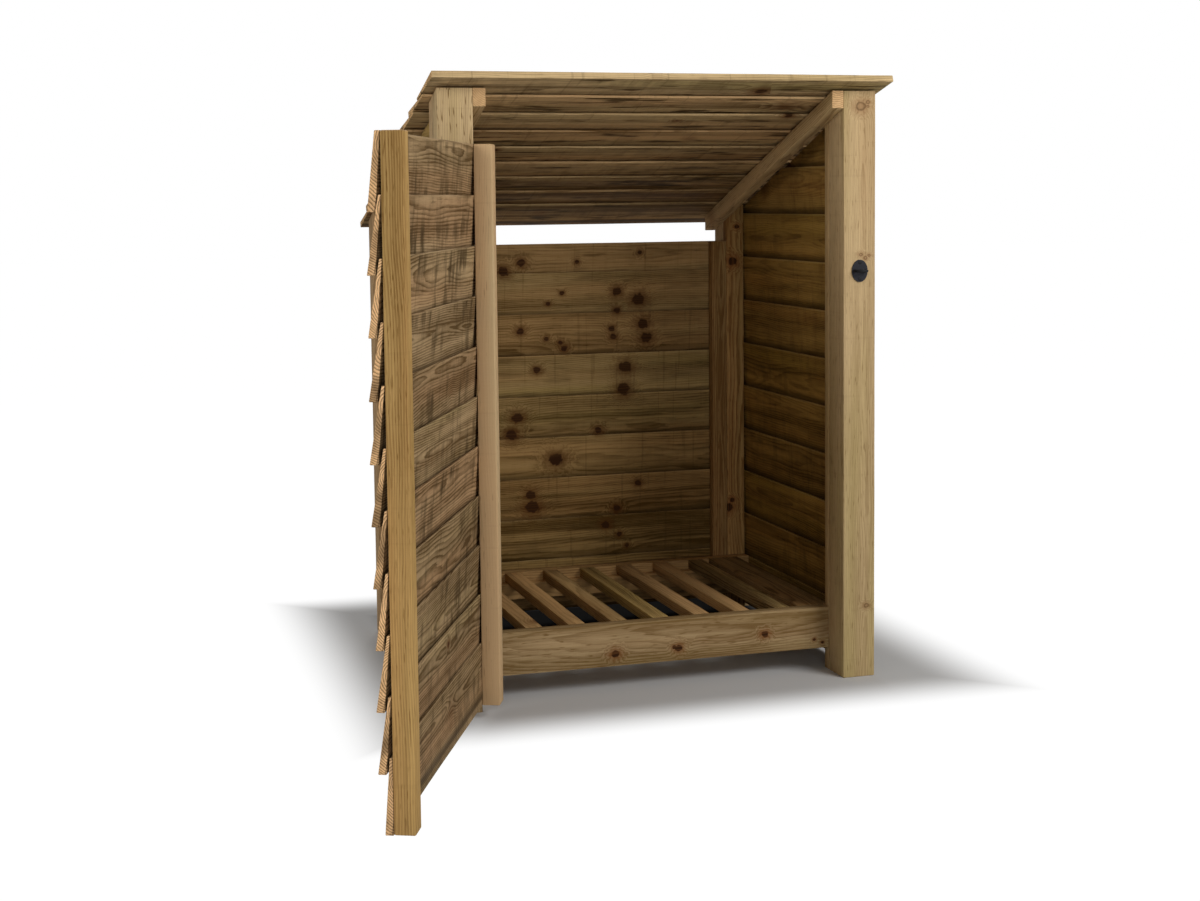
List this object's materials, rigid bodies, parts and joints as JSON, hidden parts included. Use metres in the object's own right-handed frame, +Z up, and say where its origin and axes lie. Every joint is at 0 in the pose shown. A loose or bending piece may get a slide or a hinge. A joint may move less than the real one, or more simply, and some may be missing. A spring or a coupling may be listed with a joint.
{
  "type": "log store",
  "caption": "Garden log store with a lean-to roof of lapped boards, lapped board walls, a slatted floor, a vent gap at the back and a hinged board door that stands open.",
  "frame": {"origin": "middle of the left front post's foot, on the ground", "axes": "+X to the right across the front, +Y from the front to the back, +Z up"},
  "size_m": [1.2228, 1.5664, 1.2813],
  "materials": {
    "frame_timber": "sawn and pressure treated",
    "floor_timber": "sawn and pressure treated",
    "wall_boards": "rough sawn feather-edge board, pressure treated",
    "roof_boards": "rough sawn feather-edge board, pressure treated",
    "ironwork": "black, satin"
  },
  "bodies": {
    "store": {"left_front_post": "frame_timber", "right_front_post": "frame_timber", "left_rear_post": "frame_timber", "right_rear_post": "frame_timber", "left_front_batten": "frame_timber", "right_front_batten": "frame_timber", "left_rear_batten": "frame_timber", "right_rear_batten": "frame_timber", "left_back_batten": "frame_timber", "right_back_batten": "frame_timber", "left_rafter": "frame_timber", "right_rafter": "frame_timber", "front_rail": "floor_timber", "back_rail": "floor_timber", "front_ledger": "floor_timber", "back_ledger": "floor_timber", "left_edge_board": "floor_timber", "right_edge_board": "floor_timber", "floor_slat_1": "floor_timber", "floor_slat_2": "floor_timber", "floor_slat_3": "floor_timber", "floor_slat_4": "floor_timber", "floor_slat_5": "floor_timber", "floor_slat_6": "floor_timber", "floor_slat_7": "floor_timber", "left_wall_boards": "wall_boards", "right_wall_boards": "wall_boards", "back_wall_boards": "wall_boards", "roof_boards": "roof_boards", "staple_plate": "ironwork", "staple_loop": "ironwork", "upper_hinge_post_leaf": "ironwork", "lower_hinge_post_leaf": "ironwork"},
    "door": {"upper_hinge_door_leaf": "ironwork", "lower_hinge_door_leaf": "ironwork", "door_hinge_stile": "frame_timber", "door_free_stile": "frame_timber", "door_boards": "wall_boards"}
  },
  "joints": [
    {"name": "door_hinge", "type": "hinge", "parent": "store", "child": "door", "pos_m": [0.038, -0.0425, 0.6], "axis": [0, 0, 1], "range_deg": [0, 114.1]}
  ]
}
